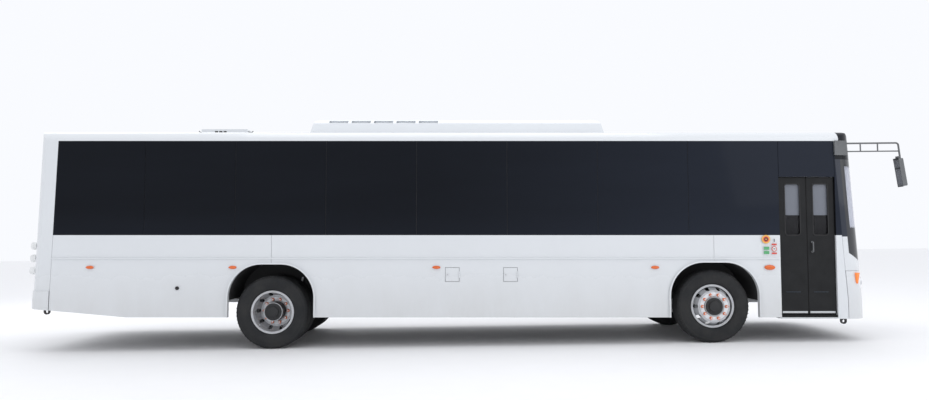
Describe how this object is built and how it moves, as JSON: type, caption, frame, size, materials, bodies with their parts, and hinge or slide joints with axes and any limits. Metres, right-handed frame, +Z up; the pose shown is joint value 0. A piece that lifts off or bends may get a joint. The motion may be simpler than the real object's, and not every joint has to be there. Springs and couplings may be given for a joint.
{
  "type": "city bus",
  "caption": "Single-deck city bus on two axles, with a flush dark window band, one two-leaf door by the front corner and a roof cooling unit.",
  "frame": {"origin": "middle of the overall length and width, on the ground", "axes": "+X to the front of the bus, +Y to its left, +Z up; the body leans 0.8 degrees nose-down, as it stands"},
  "size_m": [12.3196, 2.73, 3.296],
  "materials": {
    "white_paint": "gloss",
    "black_paint": "gloss",
    "chassis_paint": "satin",
    "floor_covering": "matte",
    "black_plastic": "matte",
    "seat_shell": "satin",
    "dark_glass": "gloss",
    "screen_glass": "gloss",
    "lamp_lens": "gloss",
    "engine_iron": "matte",
    "tyre_rubber": "matte",
    "wheel_steel": "satin"
  },
  "bodies": {
    "bus": {"chassis_frame": "chassis_paint", "floor_pan": "floor_covering", "wheel_arch_liners": "black_plastic", "right_side_panels": "white_paint", "left_side_panels": "white_paint", "right_window_frame": "black_paint", "left_window_frame": "black_paint", "door_frame": "white_paint", "right_side_glass": "dark_glass", "left_side_glass": "dark_glass", "roof_shell": "white_paint", "roof_air_conditioner": "white_paint", "rear_wall": "white_paint", "rear_window": "dark_glass", "rear_bumper": "white_paint", "rear_lamps": "lamp_lens", "front_panel": "white_paint", "front_bumper": "white_paint", "front_header": "black_paint", "windscreen": "screen_glass", "front_lamps": "lamp_lens", "mirrors": "black_plastic", "dashboard": "black_plastic", "steering_wheel": "black_plastic", "driver_seat": "seat_shell", "passenger_seats": "seat_shell", "engine_block": "engine_iron", "front_axle": "chassis_paint", "rear_axle": "chassis_paint"},
    "hatch": {"roof_hatch": "white_paint"},
    "engine_lid": {"engine_flap": "white_paint"},
    "fuel_lid": {"fuel_flap": "white_paint"},
    "service_lid": {"service_flap": "white_paint"},
    "rear_leaf": {"door_rear_leaf": "black_paint", "door_rear_glass": "dark_glass"},
    "front_leaf": {"door_front_leaf": "black_paint", "door_front_glass": "dark_glass"},
    "left_knuckle": {"left_steering_knuckle": "chassis_paint"},
    "right_knuckle": {"right_steering_knuckle": "chassis_paint"},
    "front_left_wheel": {"front_left_tyre": "tyre_rubber", "front_left_rim": "wheel_steel"},
    "rear_left_wheels": {"rear_left_tyres": "tyre_rubber", "rear_left_rims": "wheel_steel"},
    "front_right_wheel": {"front_right_tyre": "tyre_rubber", "front_right_rim": "wheel_steel"},
    "rear_right_wheels": {"rear_right_tyres": "tyre_rubber", "rear_right_rims": "wheel_steel"}
  },
  "joints": [
    {"name": "front_left_steer", "type": "hinge", "parent": "bus", "child": "left_knuckle", "pos_m": [3.4612, 0.935, 0.51], "axis": [0.014, 0, 0.9999], "range_deg": [-40, 40]},
    {"name": "front_left_roll", "type": "hinge", "parent": "left_knuckle", "child": "front_left_wheel", "pos_m": [3.4612, 1.0425, 0.51], "axis": [0, 1, 0], "continuous": true},
    {"name": "rear_left_roll", "type": "hinge", "parent": "bus", "child": "rear_left_wheels", "pos_m": [-2.7394, 1.0425, 0.51], "axis": [0, 1, 0], "continuous": true},
    {"name": "front_right_steer", "type": "hinge", "parent": "bus", "child": "right_knuckle", "pos_m": [3.4612, -0.935, 0.51], "axis": [0.014, 0, 0.9999], "range_deg": [-40, 40]},
    {"name": "front_right_roll", "type": "hinge", "parent": "right_knuckle", "child": "front_right_wheel", "pos_m": [3.4612, -1.0425, 0.51], "axis": [0, 1, 0], "continuous": true},
    {"name": "rear_right_roll", "type": "hinge", "parent": "bus", "child": "rear_right_wheels", "pos_m": [-2.7394, -1.0425, 0.51], "axis": [0, 1, 0], "continuous": true},
    {"name": "door_rear_swing", "type": "hinge", "parent": "bus", "child": "rear_leaf", "pos_m": [4.43, -1.156, 1.34822], "axis": [0.014, 0, 0.9999], "range_deg": [0, 88]},
    {"name": "door_front_swing", "type": "hinge", "parent": "bus", "child": "front_leaf", "pos_m": [5.16193, -1.156, 1.338], "axis": [-0.014, 0, -0.9999], "range_deg": [0, 88]},
    {"name": "engine_flap_lift", "type": "hinge", "parent": "bus", "child": "engine_lid", "pos_m": [-6.10059, 0, 1.56777], "axis": [0, 1, 0], "range_deg": [0, 80]},
    {"name": "roof_hatch_lift", "type": "hinge", "parent": "bus", "child": "hatch", "pos_m": [-3.30876, 0, 3.17395], "axis": [0, 1, 0], "range_deg": [0, 70]},
    {"name": "fuel_flap_swing", "type": "hinge", "parent": "bus", "child": "fuel_lid", "pos_m": [-0.10071, -1.2585, 1.00644], "axis": [0.014, 0, 0.9999], "range_deg": [0, 90]},
    {"name": "service_flap_swing", "type": "hinge", "parent": "bus", "child": "service_lid", "pos_m": [0.71321, -1.2585, 0.99508], "axis": [0.014, 0, 0.9999], "range_deg": [0, 90]}
  ],
  "couplings": [
    {"joint": "front_right_steer", "follows": "front_left_steer", "ratio": 1},
    {"joint": "door_front_swing", "follows": "door_rear_swing", "ratio": 1}
  ]
}
